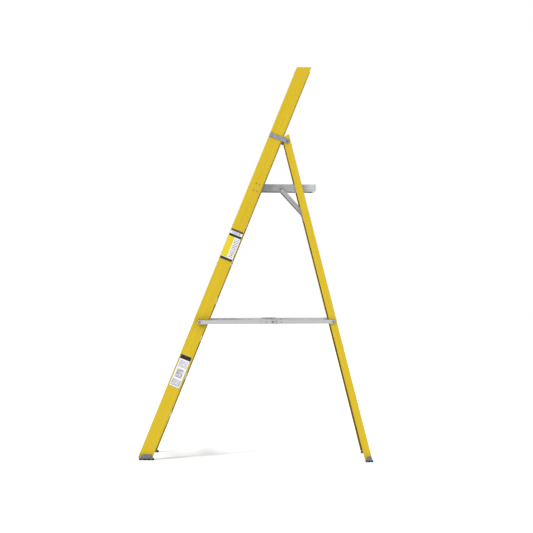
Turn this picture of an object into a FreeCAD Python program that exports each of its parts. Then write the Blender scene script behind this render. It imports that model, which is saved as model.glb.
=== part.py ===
"""Folding platform step ladder: fibreglass channel rails, aluminium steps, platform and spreaders.

Frame: X across the ladder, Y front to back (the climber stands on the -Y side), Z up.
The origin is on the floor, in the middle of the open ladder's footprint.
"""
import FreeCAD, Part
import math
import os
import Sketcher

from FreeCAD import Placement, Rotation, Vector

doc = FreeCAD.newDocument("platform_ladder")

# ---------------------------------------------------------------- driving sizes, millimetres and degrees
SIZES = {
    # stance
    "front_lean": 21.68, "rear_lean": 14.67,
    "guard_rise": 912, "pivot_rise": 332, "pivot_behind_rail": 43,
    "front_foot_half": 355, "front_top_half": 192.5, "rear_foot_half": 395,
    # front rails: channel, web outward
    "front_depth": 105, "front_flange": 36, "front_wall": 4.5, "front_corner": 3,
    # rear rails
    "rear_depth": 54, "rear_flange": 30, "rear_wall": 4, "rear_corner": 2.5,
    "rear_top_front": 37, "rear_top_back": 52, "rear_top_clearance": 3, "rear_face_gap": 2,
    # steps
    "first_step": 345, "step_pitch": 300, "step_skirt": 44, "step_wall": 2.2, "step_lip": 12,
    "tread_rib": 1.2, "tread_rib_width": 3, "tread_rib_pitch": 8, "rib_root": 0.1,
    "step_end_gap": 0.5,
    # rivets and bolts
    "rivet_radius": 2.5, "rivet_head": 5, "rivet_head_rise": 2.4, "rivet_tail": 4, "rivet_tail_rise": 2,
    "rivet_play": 0.05,
    # platform
    "platform_half": 165, "deck_plate": 3, "deck_rib": 1.2,
    "deck_rib_pitch": 12, "deck_rib_width": 4, "deck_front_reach": 46, "deck_rear_reach": 464,
    "side_height": 52, "side_flange": 24, "side_wall": 2.5, "side_corner": 9,
    "beam_flange": 22, "beam_wall": 2.5,
    "hinge_inset": 61.7, "hinge_below_deck": 29, "hinge_rod_radius": 8, "hinge_boss_radius": 15,
    "hinge_boss_length": 12, "bracket_depth": 62, "bracket_height": 96, "bracket_plate": 4,
    "bracket_rivet_across": 26, "bracket_rivet_along": 56,
    "spacer_radius": 12, "spacer_gap": 0.4,
    # struts and the bar that they hook over
    "strut_pin_reach": 190, "strut_pin_below_deck": 38, "strut_pin_radius": 6, "strut_pin_head": 9,
    "strut_pin_head_rise": 1.4, "strut_pin_tail": 3, "strut_half": 14.5, "hook_half": 18,
    "strut_depth": 12, "strut_wall": 2.5, "strut_gap": 0.4,
    "bar_below_pivot": 605, "bar_radius": 8, "bar_wall": 2, "hook_play": 1.4,
    "bar_block_width": 22, "bar_block_height": 46, "bar_rivet_spread": 16,
    # pivot plates
    "pivot_plate_half": 16, "pivot_plate_thickness": 5, "pivot_plate_inset": 2, "plate_rivet_inset": 25,
    "pivot_bolt_radius": 6, "pivot_head_radius": 10, "pivot_head_rise": 4, "pivot_bolt_tail": 4,
    "pivot_nut_across": 19, "pivot_nut_height": 9,
    "running_fit": 0.05,
    # rear crosspieces
    "cross_upper": 1643, "cross_lower": 856, "cross_height": 76, "cross_flange": 20, "cross_wall": 2.5,
    "cross_rivet_spread": 27,
    # top tie
    "tie_below_top": 46, "tie_height": 56, "tie_flange": 24, "tie_wall": 2.5,
    # spreaders
    "spread_front_inset": 45.7, "spread_front_height": 1066, "spread_rear_height": 1078,
    "spread_front_share": 0.5486, "spread_half": 15.5, "spread_thickness": 5, "spread_layer_gap": 2.8,
    "spread_rail_gap": 1.2, "spread_pin_radius": 5, "spread_head_radius": 9, "spread_head_rise": 3,
    "spread_shoulder": 11.5, "spread_bolt_tail": 6, "lock_pin_tail": 2, "lock_pin_gap": 0.5,
    "lock_front": 92, "lock_rear": 24, "lock_thickness": 3, "lock_tab_rise": 3, "lock_tab_gap": 0.5,
    "lock_rivet_reach": 52, "stud_reach": 66,
    # feet
    "rail_end": 20, "boot_top": 45, "boot_wall": 4, "sole_thickness": 5, "sole_play": 0.4, "sole_lap": 1,
    "front_boot_top": 72, "front_boot_foot": 98, "front_tread_length": 115, "front_tread_setback": 1,
    "boot_rivet_spread": 18, "front_boot_rivet_height": 33, "rear_boot_rivet_height": 31,
    "rear_boot_top": 24, "rear_boot_foot": 47, "rear_tread_length": 59,
    "tread_groove": 5, "front_lugs": 4, "rear_lugs": 3,
    # braces under the bottom step
    "brace_reach": 120, "brace_drop": 118, "brace_half": 10, "brace_thickness": 3, "brace_play": 1,
    # labels
    "label_thickness": 0.3, "upper_label_width": 97, "upper_label_length": 249, "upper_label_centre": 1665,
    "lower_label_width": 88, "lower_label_length": 260, "lower_label_centre": 686,
}
STEP_COUNT = 6
PLATFORM_HEIGHT = "(first_step + %d * step_pitch)" % STEP_COUNT
OVERALL_HEIGHT = "(first_step + %d * step_pitch + guard_rise)" % STEP_COUNT

sheet = doc.addObject("Spreadsheet::Sheet", "Sizes")
for row, (alias, value) in enumerate(SIZES.items(), start=1):
    sheet.set("A%d" % row, alias)
    sheet.set("B%d" % row, str(value))
    sheet.setAlias("B%d" % row, alias)
doc.recompute()


def size(alias):
    """Value of one driving size."""
    return float(sheet.get(alias))


def bind(formula):
    """Formula with every driving size written as its sheet reference."""
    words = []
    word = ""
    for letter in formula + " ":
        if letter.isalnum() or letter == "_":
            word += letter
            continue
        words.append("Sizes." + word if word in SIZES else word)
        words.append(letter)
        word = ""
    return "".join(words).strip()


def number(formula):
    """Number that a formula of driving sizes gives now."""
    result = sheet.evalExpression(bind(str(formula)))
    return float(getattr(result, "Value", result))


# ---------------------------------------------------------------- sketch and feature helpers
def origin_plane(body, role):
    return [item for item in body.Origin.OriginFeatures if item.Role == role][0]


def new_body(label, place=Placement()):
    body = doc.addObject("PartDesign::Body", label)
    body.Label = label
    body.Placement = place
    return body


def sketch_on(body, plane, lift="0"):
    """Sketch on an origin plane, lifted along its normal."""
    sketch = body.newObject("Sketcher::SketchObject", "sketch")
    sketch.AttachmentSupport = (origin_plane(body, plane), [""])
    sketch.MapMode = "FlatFace"
    if lift != "0":
        sketch.setExpression("AttachmentOffset.Base.z", bind(lift))
    return sketch


def pin_point(sketch, geometry, vertex, across, up):
    """Hold one vertex of the sketch at two formulas from the sketch's origin."""
    for kind, axis, formula in (("DistanceX", -2, across), ("DistanceY", -1, up)):
        if str(formula) == "0":
            sketch.addConstraint(Sketcher.Constraint("PointOnObject", geometry, vertex, axis))
            continue
        index = sketch.addConstraint(
            Sketcher.Constraint(kind, -1, 1, geometry, vertex, number(formula)))
        sketch.setExpression("Constraints[%d]" % index, bind(str(formula)))


def outline(sketch, points):
    """Closed outline through points given as pairs of formulas."""
    spots = [Vector(number(across), number(up), 0) for across, up in points]
    count = len(spots)
    for index in range(count):
        sketch.addGeometry(Part.LineSegment(spots[index], spots[(index + 1) % count]), False)
    for index in range(count):
        sketch.addConstraint(
            Sketcher.Constraint("Coincident", index, 2, (index + 1) % count, 1))
    for index, (across, up) in enumerate(points):
        pin_point(sketch, index, 1, across, up)


def circles(sketch, spots, radius):
    """One circle per spot, all of one radius."""
    for index, (across, up) in enumerate(spots):
        centre = Vector(number(across), number(up), 0)
        sketch.addGeometry(Part.Circle(centre, Vector(0, 0, 1), number(radius)), False)
        pin_point(sketch, index, 3, across, up)
        held = sketch.addConstraint(Sketcher.Constraint("Radius", index, number(radius)))
        sketch.setExpression("Constraints[%d]" % held, bind(str(radius)))


def pad(body, sketch, length, centred=False, backward=False):
    feature = body.newObject("PartDesign::Pad", "pad")
    feature.Profile = sketch
    feature.SideType = "Symmetric" if centred else "One side"
    feature.Reversed = backward
    feature.setExpression("Length", bind(str(length)))
    doc.recompute()
    return feature


def pocket(body, sketch, length, centred=True, backward=False):
    """Cut the sketch out of the body; a cut that removes nothing is an error."""
    before = body.Shape.Volume
    feature = body.newObject("PartDesign::Pocket", "pocket")
    feature.Profile = sketch
    feature.SideType = "Symmetric" if centred else "One side"
    feature.Reversed = backward
    feature.setExpression("Length", bind(str(length)))
    doc.recompute()
    if body.Shape.Volume > before - 1e-3:
        raise RuntimeError("%s: a pocket removes nothing" % body.Label)
    return feature


def repeat(body, features, axis, step, count):
    """Repeat features along one of the body's axes."""
    pattern = body.newObject("PartDesign::LinearPattern", "pattern")
    pattern.Originals = features
    pattern.Direction = (origin_plane(body, axis), [""])
    pattern.Mode = "Spacing"
    pattern.setExpression("Offset", bind(str(step)))
    pattern.Occurrences = count
    body.Tip = pattern
    doc.recompute()
    return pattern


def drill(body, plane, lift, spots, radius, length):
    """Round holes through the wall that the lifted plane runs in the middle of."""
    sketch = sketch_on(body, plane, lift)
    circles(sketch, spots, radius)
    return pocket(body, sketch, length)


def drill_level(body, spot, radius, length, splay):
    """Hole through a splayed web whose own axis stays level with X."""
    sketch = sketch_on(body, "YZ_Plane")
    sketch.AttachmentOffset = Placement(Vector(number(spot[0]), number(spot[1]), 0),
                                        Rotation(Vector(1, 0, 0), math.degrees(splay)))
    circles(sketch, [("0", "0")], radius)
    return pocket(body, sketch, length)


def disc(body, plane, lift, spot, radius, length):
    """Round end or boss padded outward from the lifted plane."""
    sketch = sketch_on(body, plane, lift)
    circles(sketch, [spot], radius)
    return pad(body, sketch, length)


def round_edges(body, wanted, radius):
    """Fillet the edges that the test picks."""
    base = body.Tip
    names = ["Edge%d" % (index + 1) for index, edge in enumerate(base.Shape.Edges) if wanted(edge)]
    feature = body.newObject("PartDesign::Fillet", "fillet")
    feature.Base = (base, names)
    feature.setExpression("Radius", bind(radius))
    doc.recompute()
    return feature


def mirrored(label, source):
    """The same piece on the other side of the ladder's middle plane."""
    copy = doc.addObject("Part::Mirroring", label)
    copy.Label = label
    copy.Source = source
    copy.Normal = Vector(1, 0, 0)
    doc.recompute()
    return copy


def group(label, shapes):
    """Loose identical pieces kept under one label."""
    feature = doc.addObject("Part::Feature", label)
    feature.Label = label
    feature.Shape = Part.makeCompound(shapes)
    return feature


# ---------------------------------------------------------------- frames that the pieces sit in
FRONT_LEAN = math.radians(size("front_lean"))
REAR_LEAN = math.radians(size("rear_lean"))
SLOPE = math.tan(FRONT_LEAN)


def front_frame_to_floor(depth, along):
    """(Y, Z) of a point given in the leaning front frame, measured from the frame's foot."""
    return (depth * math.cos(FRONT_LEAN) + along * math.sin(FRONT_LEAN),
            along * math.cos(FRONT_LEAN) - depth * math.sin(FRONT_LEAN))


def along_at(depth, height):
    """How far along the leaning front frame a given height is reached at a given depth."""
    return (height + depth * math.sin(FRONT_LEAN)) / math.cos(FRONT_LEAN)


platform_height = number(PLATFORM_HEIGHT)
overall_height = number(OVERALL_HEIGHT)
pivot_height = platform_height + size("pivot_rise")
pivot_depth = size("front_depth") + size("pivot_behind_rail")
pivot_along = along_at(pivot_depth, pivot_height)
pivot_from_foot = front_frame_to_floor(pivot_depth, pivot_along)[0]

front_splay = math.atan((size("front_foot_half") - size("front_top_half"))
                        / (overall_height / math.cos(FRONT_LEAN)))

# the open ladder, from the front rails' lower corners to the rear pads, is centred on Y = 0
front_pad_from_foot = size("boot_top") * SLOPE - size("front_tread_setback")
front_edge_from_foot = (size("rail_end") * SLOPE
                        - size("front_flange") * math.sin(front_splay) * math.sin(FRONT_LEAN))
rear_foot_from_foot = pivot_from_foot + pivot_height * math.tan(REAR_LEAN)
rear_pad_from_foot = rear_foot_from_foot + size("rear_tread_length") / 2
foot_y = -(front_edge_from_foot + rear_pad_from_foot) / 2
pivot_y = foot_y + pivot_from_foot

FRONT = Placement(Vector(0, foot_y, 0), Rotation(Vector(1, 0, 0), -size("front_lean")))
REAR = Placement(Vector(0, pivot_y, pivot_height), Rotation(Vector(1, 0, 0), size("rear_lean")))

FRONT_RAIL = FRONT * Placement(Vector(size("front_foot_half"), 0, 0),
                               Rotation(Vector(0, 1, 0), -math.degrees(front_splay)))


def front_half(along):
    """Half width over the front rails' outer faces."""
    return size("front_foot_half") - along * math.tan(front_splay)


rear_pivot_half = front_half(pivot_along) - size("rear_face_gap")
rear_splay = math.atan((size("rear_foot_half") - rear_pivot_half)
                       / (pivot_height / math.cos(REAR_LEAN)))
REAR_RAIL = REAR * Placement(Vector(rear_pivot_half, 0, 0),
                             Rotation(Vector(0, 1, 0), -math.degrees(rear_splay)))


def rear_half(along):
    """Half width over the rear rails' outer faces; along is negative below the pivot."""
    return rear_pivot_half - along * math.tan(rear_splay)


def in_rail(along, splay, across=0.0):
    """Distance along a splayed rail's own axis for a distance along its section's frame."""
    return along / math.cos(splay) - across * math.tan(splay)


# ---------------------------------------------------------------- rivets
HOLE = "rivet_radius + rivet_play"
HEAD_FRONT = Rotation(Vector(1, 0, 0), 90)
HEAD_REAR = Rotation(Vector(1, 0, 0), -90)
HEAD_RIGHT = Rotation(Vector(0, 1, 0), 90)
HEAD_UP = Rotation()
HEAD_CROWN = 0.85  # share of a rivet head's rise that its rim is rounded over


def rivet(grip, place, turn):
    """Rivet whose head sits at place, turned to face outward, gripping that much metal."""
    rise = size("rivet_head_rise")
    head = Part.makeCylinder(size("rivet_head"), rise)
    rim = [edge for edge in head.Edges if edge.BoundBox.ZMin > rise - 1e-6]
    head = head.makeFillet(rise * HEAD_CROWN, rim)
    shank = Part.makeCylinder(size("rivet_radius"), grip, Vector(0, 0, -grip))
    tail = Part.makeCylinder(size("rivet_tail"), size("rivet_tail_rise"),
                             Vector(0, 0, -grip - size("rivet_tail_rise")))
    whole = head.fuse([shank, tail])
    whole.Placement = place * Placement(Vector(0, 0, 0), turn)
    return whole


def at(frame, across, depth, along):
    """Place in a leaning or splayed frame."""
    return frame * Placement(Vector(across, depth, along), Rotation())


def both_sides(shapes):
    """The shapes and their mirror images across the ladder's middle plane."""
    return shapes + [shape.mirror(Vector(0, 0, 0), Vector(1, 0, 0)) for shape in shapes]


flange_rivets = []
web_rivets = []
rear_rivets = []
platform_rivets = []

# ---------------------------------------------------------------- stations along the front rails
front_middle = size("front_wall") + (size("front_flange") - size("front_wall")) / 2
inner_depth = size("front_depth") - 2 * size("front_wall")
skirt_half = size("step_skirt") / 2 / math.cos(FRONT_LEAN)
step_spacing = size("step_pitch") / math.cos(FRONT_LEAN)


def step_rivet_along(depth):
    """Distance along the front frame of the bottom step's rivets at one of its skirts."""
    return along_at(depth, size("first_step")) - skirt_half


skirt_depths = (size("front_wall"), size("front_wall") + inner_depth)
tie_along = along_at(0, overall_height) - size("tie_below_top")
brace_top_along = step_rivet_along(skirt_depths[1])
brace_foot_along = brace_top_along - size("brace_drop")
brace_foot = FRONT.inverse().multVec(FRONT_RAIL.multVec(
    Vector(-front_middle, 0, in_rail(brace_foot_along, front_splay, -front_middle))))
brace_top = Vector(brace_foot.x - size("brace_reach"), 0, brace_top_along)
hinge_along = along_at(size("hinge_inset"), platform_height - size("hinge_below_deck"))
spread_along = along_at(size("spread_front_inset"), size("spread_front_height"))
rail_hinge_along = in_rail(hinge_along, front_splay)
rail_pivot_along = in_rail(pivot_along, front_splay)
bracket_spots = [(size("hinge_inset") + side * size("bracket_rivet_across") / 2,
                  rail_hinge_along + end * size("bracket_rivet_along") / 2)
                 for side in (-1, 1) for end in (-1, 1)]
plate_spots = [(depth, rail_pivot_along)
               for depth in (size("plate_rivet_inset"), size("front_depth") - size("plate_rivet_inset"))]
front_boot_spots = [(depth, along_at(depth, size("front_boot_rivet_height")))
                    for depth in (size("front_depth") / 2 + side * size("boot_rivet_spread")
                                  for side in (-1, 1))]


def splay_share(splay):
    """Cosine of a splay, written for a formula."""
    return "%.9f" % math.cos(splay)


def front_rail():
    """Channel with level-cut ends and its flanges turned inward, drilled for its fasteners."""
    body = new_body("front_rail_right", FRONT_RAIL)
    side = sketch_on(body, "YZ_Plane")
    low = "rail_end / cos(front_lean) / " + splay_share(front_splay)
    high = OVERALL_HEIGHT + " / cos(front_lean) / " + splay_share(front_splay)
    rise = "front_depth * tan(front_lean) / " + splay_share(front_splay)
    outline(side, [("0", low), ("front_depth", low + " + " + rise),
                   ("front_depth", high + " + " + rise), ("0", high)])
    pad(body, side, "front_flange", backward=True)
    hollow = sketch_on(body, "YZ_Plane", "-front_wall")
    outline(hollow, [("front_wall", "0"), ("front_depth - front_wall", "0"),
                     ("front_depth - front_wall", high + " + 2 * front_depth"),
                     ("front_wall", high + " + 2 * front_depth")])
    pocket(body, hollow, "front_flange", centred=False)
    round_edges(body, lambda edge: edge.Length > 1000 and edge.BoundBox.XMin > -1e-6
                and edge.BoundBox.XMax < 1e-6, "front_corner")
    across = -front_middle
    for lift, depth in (("front_wall / 2", skirt_depths[0]),
                        ("front_depth - front_wall / 2", skirt_depths[1])):
        for index in range(STEP_COUNT):
            along = in_rail(step_rivet_along(depth) + index * step_spacing, front_splay, across)
            drill(body, "XZ_Plane", "-(" + lift + ")", [(across, along)], HOLE, "2 * front_wall")
    drill(body, "XZ_Plane", "-front_wall / 2", [(across, in_rail(tie_along, front_splay, across))],
          HOLE, "2 * front_wall")
    drill(body, "XZ_Plane", "-(front_depth - front_wall / 2)",
          [(across, in_rail(brace_foot_along, front_splay, across))], HOLE, "2 * front_wall")
    drill(body, "YZ_Plane", "-front_wall / 2", bracket_spots + plate_spots + front_boot_spots,
          HOLE, "2 * front_wall")
    drill_level(body, ("spread_front_inset", in_rail(spread_along, front_splay)),
                "spread_pin_radius + rivet_play", "4 * front_wall", front_splay)
    return body


def rail_rivet(depth, along, turn, grip, face_depth):
    """Rivet through a front flange at a distance along the front frame."""
    spot = at(FRONT_RAIL, -front_middle, face_depth, in_rail(along, front_splay, -front_middle))
    flange_rivets.append(rivet(grip, spot, turn))


def step(index):
    """Ribbed tread with a skirt down the inside of each pair of flanges."""
    wall = size("step_wall")
    height = size("first_step") + index * size("step_pitch")
    corner_along = along_at(size("front_wall"), height)
    corner = front_frame_to_floor(size("front_wall"), corner_along)
    body = new_body("step_%d" % (index + 1), Placement(Vector(0, foot_y + corner[0], height), Rotation()))
    width = "(front_depth - 2 * front_wall) / cos(front_lean)"
    lean = "tan(front_lean)"
    skin = "step_wall / cos(front_lean)"
    top = "-tread_rib"
    section = sketch_on(body, "YZ_Plane")
    outline(section, [
        ("-tread_rib * " + lean, top),
        (width + " - tread_rib * " + lean, top),
        (width + " - step_skirt * " + lean, "-step_skirt"),
        (width + " - step_skirt * " + lean + " - step_lip", "-step_skirt"),
        (width + " - (step_skirt - step_wall) * " + lean + " - step_lip", "step_wall - step_skirt"),
        (width + " - (step_skirt - step_wall) * " + lean + " - " + skin, "step_wall - step_skirt"),
        (width + " - (tread_rib + step_wall) * " + lean + " - " + skin, "-tread_rib - step_wall"),
        (skin + " - (tread_rib + step_wall) * " + lean, "-tread_rib - step_wall"),
        (skin + " - (step_skirt - step_wall) * " + lean, "step_wall - step_skirt"),
        ("step_lip - (step_skirt - step_wall) * " + lean, "step_wall - step_skirt"),
        ("step_lip - step_skirt * " + lean, "-step_skirt"),
        ("-step_skirt * " + lean, "-step_skirt"),
    ])
    top_along = along_at(size("front_depth"), height)
    half = front_half(top_along) - size("front_wall") / math.cos(front_splay) - size("step_end_gap")
    pad(body, section, 2 * half, centred=True)
    ribs = sketch_on(body, "YZ_Plane")
    root = "-tread_rib - rib_root"
    outline(ribs, [("step_wall", root), ("step_wall + tread_rib_width", root),
                   ("step_wall + tread_rib_width", "0"), ("step_wall", "0")])
    rib = pad(body, ribs, 2 * half, centred=True)
    if index == 0:
        lip_end = width + " - step_skirt * " + lean + " - step_lip - brace_play"
        lip_root = width + " - (step_skirt - step_wall) * " + lean + " - " + skin
        for near, far in ((brace_top.x - 2 * size("brace_half"), 2 * half),
                          (-2 * half, 2 * size("brace_half") - brace_top.x)):
            notch = sketch_on(body, "XY_Plane", "-step_skirt")
            outline(notch, [(near, lip_end), (far, lip_end), (far, lip_root), (near, lip_root)])
            pocket(body, notch, "2 * step_wall + rib_root")
    room = number(width) - 2 * wall - size("tread_rib_width")
    repeat(body, [rib], "Y_Axis", "tread_rib_pitch", int(room // size("tread_rib_pitch")) + 1)
    tilt = Rotation(Vector(1, 0, 0), -size("front_lean"))
    for depth, turn, face in ((skirt_depths[0], HEAD_FRONT, 0),
                              (skirt_depths[1], HEAD_REAR, size("front_depth"))):
        along = step_rivet_along(depth) + index * step_spacing
        spot = at(FRONT_RAIL, -front_middle, depth, in_rail(along, front_splay, -front_middle)).Base
        middle = spot - body.Placement.Base
        sketch = sketch_on(body, "XZ_Plane")
        sketch.AttachmentOffset = Placement(Vector(0, middle.z, -middle.y), tilt)
        holes = [(-spot.x, "0"), (spot.x, "0")]
        if index == 0 and face:
            holes += [(-brace_top.x, "0"), (brace_top.x, "0")]
        circles(sketch, holes, HOLE)
        pocket(body, sketch, 4 * wall)
        rail_rivet(depth, along, turn, size("front_wall") + wall, face)
    return body


def front_half_inside(along):
    """Half width between the front rails' webs."""
    return front_half(along) - size("front_wall") / math.cos(front_splay)


def top_tie():
    """Channel between the front rails just under their tops, riveted to the front flanges."""
    body = new_body("top_tie", FRONT * Placement(Vector(0, size("front_wall"), tie_along), Rotation()))
    section = sketch_on(body, "YZ_Plane")
    outline(section, [("0", "-tie_height / 2"), ("tie_flange", "-tie_height / 2"),
                      ("tie_flange", "tie_wall - tie_height / 2"), ("tie_wall", "tie_wall - tie_height / 2"),
                      ("tie_wall", "tie_height / 2 - tie_wall"), ("tie_flange", "tie_height / 2 - tie_wall"),
                      ("tie_flange", "tie_height / 2"), ("0", "tie_height / 2")])
    half = front_half_inside(tie_along + size("tie_height") / 2) - size("step_end_gap")
    pad(body, section, 2 * half, centred=True)
    spot = at(FRONT_RAIL, -front_middle, 0, in_rail(tie_along, front_splay, -front_middle))
    reach = FRONT.inverse().multVec(spot.Base).x
    drill(body, "XZ_Plane", "-tie_wall / 2", [(-reach, "0"), (reach, "0")], HOLE, "2 * tie_wall")
    rail_rivet(0, tie_along, HEAD_FRONT, size("front_wall") + size("tie_wall"), 0)
    return body


def knee_brace():
    """Flat bar from the bottom step's rear skirt down to the rail's rear flange."""
    skirt_inside = skirt_depths[1] - size("step_wall")
    run = Vector(brace_foot.x - brace_top.x, 0, brace_foot.z - brace_top.z)
    angle = math.degrees(math.atan2(run.x, -run.z))
    place = Placement(Vector(brace_top.x, skirt_inside, brace_top.z), Rotation(Vector(0, 1, 0), -angle))
    body = new_body("knee_brace_right", FRONT * place)
    bar = sketch_on(body, "XZ_Plane")
    outline(bar, [("-brace_half", -run.Length), ("brace_half", -run.Length),
                  ("brace_half", "0"), ("-brace_half", "0")])
    pad(body, bar, "brace_thickness")
    for along in (0, -run.Length):
        disc(body, "XZ_Plane", "0", ("0", along), "brace_half", "brace_thickness")
    heel = sketch_on(body, "XZ_Plane", "-step_wall")
    circles(heel, [("0", -run.Length)], "brace_half")
    pad(body, heel, "step_wall + brace_thickness / 2")
    drill(body, "XZ_Plane", "0", [("0", "0"), ("0", -run.Length)], HOLE,
          "4 * (brace_thickness + step_wall)")
    rail_rivet(0, brace_foot_along, HEAD_REAR,
               size("front_wall") + size("step_wall") + size("brace_thickness"), size("front_depth"))
    flange_rivets.append(rivet(size("step_wall") + size("brace_thickness"),
                               at(FRONT, brace_top.x, skirt_depths[1], brace_top.z), HEAD_REAR))
    return body


def hinge_bracket():
    """Plate riveted inside the web, with a level boss that carries the platform's hinge rod."""
    body = new_body("hinge_bracket_right", FRONT_RAIL * Placement(
        Vector(-size("front_wall"), size("hinge_inset"), rail_hinge_along), Rotation()))
    plate = sketch_on(body, "YZ_Plane")
    outline(plate, [("-bracket_depth / 2", "-bracket_height / 2"),
                    ("bracket_depth / 2", "-bracket_height / 2"),
                    ("bracket_depth / 2", "bracket_height / 2"),
                    ("-bracket_depth / 2", "bracket_height / 2")])
    pad(body, plate, "bracket_plate", backward=True)
    boss = sketch_on(body, "YZ_Plane")
    circles(boss, [("0", "0")], "hinge_boss_radius")
    pad(body, boss, "bracket_plate + hinge_boss_length", backward=True)
    spots = [(depth - size("hinge_inset"), along - rail_hinge_along) for depth, along in bracket_spots]
    drill(body, "YZ_Plane", "-bracket_plate / 2", spots, HOLE, "2 * bracket_plate")
    drill_level(body, ("0", "0"), "hinge_rod_radius + running_fit", "6 * hinge_boss_length", front_splay)
    for depth, along in bracket_spots:
        web_rivets.append(rivet(size("front_wall") + size("bracket_plate"),
                                at(FRONT_RAIL, 0, depth, along), HEAD_RIGHT))
    return body


bracket_face = FRONT_RAIL.multVec(Vector(-size("front_wall"), size("hinge_inset"), rail_hinge_along))
HINGE = Placement(Vector(0, bracket_face.y, bracket_face.z), Rotation())


def level_tube(label, frame, near, far, outer, inner=None):
    """Round bar or tube along X between two distances from the middle plane."""
    body = new_body(label, frame)
    ring = sketch_on(body, "YZ_Plane", str(near))
    circles(ring, [("0", "0")], outer)
    pad(body, ring, far - near)
    if inner:
        bore = sketch_on(body, "YZ_Plane", str(near))
        circles(bore, [("0", "0")], inner)
        pocket(body, bore, 3 * (far - near))
    return body


def hinge_rod():
    half = bracket_face.x - size("rear_face_gap")
    return level_tube("platform_hinge_rod", HINGE, -half, half, "hinge_rod_radius")


def hinge_spacers():
    """Tubes on the rod that keep the platform in the middle."""
    boss_end = bracket_face.x - (size("bracket_plate") + size("hinge_boss_length"))
    near = size("platform_half") + size("spacer_gap")
    far = boss_end - 2 * size("hinge_boss_radius") * math.tan(front_splay)
    tube = level_tube("hinge_spacer_right", HINGE, near, far, "spacer_radius",
                      "hinge_rod_radius + running_fit")
    return tube


def pivot_plate():
    """Bar on the web that reaches back past the rail to the rear section's pivot."""
    body = new_body("pivot_plate_right", FRONT_RAIL * Placement(Vector(0, 0, rail_pivot_along), Rotation()))
    bar = sketch_on(body, "YZ_Plane")
    outline(bar, [("pivot_plate_inset", "-pivot_plate_half"), (pivot_depth, "-pivot_plate_half"),
                  (pivot_depth, "pivot_plate_half"), ("pivot_plate_inset", "pivot_plate_half")])
    pad(body, bar, "pivot_plate_thickness")
    disc(body, "YZ_Plane", "0", (pivot_depth, "0"), "pivot_plate_half", "pivot_plate_thickness")
    spots = [(depth, along - rail_pivot_along) for depth, along in plate_spots]
    drill(body, "YZ_Plane", "pivot_plate_thickness / 2", spots, HOLE, "2 * pivot_plate_thickness")
    drill_level(body, (pivot_depth, "0"), "pivot_bolt_radius + running_fit",
                "4 * pivot_plate_thickness", front_splay)
    for depth, along in plate_spots:
        web_rivets.append(rivet(size("pivot_plate_thickness") + size("front_wall"),
                                at(FRONT_RAIL, size("pivot_plate_thickness"), depth, along), HEAD_RIGHT))
    return body


PIVOT = Placement(Vector(0, pivot_y, pivot_height), Rotation())
plate_outside = FRONT_RAIL.multVec(Vector(size("pivot_plate_thickness"), pivot_depth, rail_pivot_along)).x
plate_tilt = size("pivot_head_radius") * math.tan(front_splay)
rear_inside = rear_pivot_half - size("rear_wall") / math.cos(rear_splay)
rear_tilt = size("pivot_nut_across") * math.tan(rear_splay)


def pivot_bolt():
    """Bolt through the pivot plate and the rear rail's web, with a low round head."""
    tip = rear_inside - rear_tilt - size("pivot_nut_height") - size("pivot_bolt_tail")
    bolt = level_tube("pivot_bolt_right", PIVOT, tip, plate_outside + plate_tilt, "pivot_bolt_radius")
    disc(bolt, "YZ_Plane", str(plate_outside + plate_tilt), ("0", "0"), "pivot_head_radius",
         "pivot_head_rise")
    return bolt


def pivot_nut():
    """Six-sided lock nut inside the rear rail, a hair clear of its web."""
    body = new_body("pivot_nut_right", PIVOT)
    corner = size("pivot_nut_across") / math.sqrt(3)
    base = rear_inside - rear_tilt - size("pivot_nut_height")
    ring = sketch_on(body, "YZ_Plane", str(base))
    outline(ring, [(corner * math.cos(math.radians(60 * turn + 30)),
                    corner * math.sin(math.radians(60 * turn + 30))) for turn in range(6)])
    pad(body, ring, "pivot_nut_height")
    bore = sketch_on(body, "YZ_Plane", str(base))
    circles(bore, [("0", "0")], "pivot_bolt_radius")
    pocket(body, bore, "3 * pivot_nut_height")
    return body


# ---------------------------------------------------------------- rear section
rear_middle = size("rear_wall") + (size("rear_flange") - size("rear_wall")) / 2
rear_half_depth = size("rear_depth") / 2
FOLD = FRONT_LEAN + REAR_LEAN


def rear_along(depth, height):
    """How far along the rear frame, from the pivot, a height is reached at a given depth."""
    return (height - pivot_height - depth * math.sin(REAR_LEAN)) / math.cos(REAR_LEAN)


def rear_half_inside(along):
    """Half width between the rear rails' webs."""
    return rear_half(along) - size("rear_wall") / math.cos(rear_splay)


cross_alongs = [rear_along(rear_half_depth, size(name)) for name in ("cross_lower", "cross_upper")]
cross_rivet_alongs = [along + side * size("cross_rivet_spread")
                      for along in cross_alongs for side in (-1, 1)]
bar_along = -size("bar_below_pivot")
block_rivet_alongs = [bar_along + side * size("bar_rivet_spread") for side in (-1, 1)]
rear_foot_y = pivot_y + (pivot_height - size("boot_top") / 2) * math.tan(REAR_LEAN)
rear_boot_spot = REAR.inverse().multVec(Vector(0, rear_foot_y, size("rear_boot_rivet_height")))


def rear_top():
    """Top of the rear rail's side outline: a slant, and a corner that clears the front rail."""
    slant = (size("rear_top_back") - size("rear_top_front")) / size("rear_depth")
    clear = size("pivot_behind_rail") - size("rear_top_clearance")
    level = size("rear_top_front") + slant * rear_half_depth
    across = (level * math.sin(FOLD) - clear) / (math.cos(FOLD) - slant * math.sin(FOLD))
    return [("rear_depth / 2", "rear_top_back"), (across, level + slant * across),
            ("-rear_depth / 2", (clear - rear_half_depth * math.cos(FOLD)) / math.sin(FOLD))]


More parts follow.
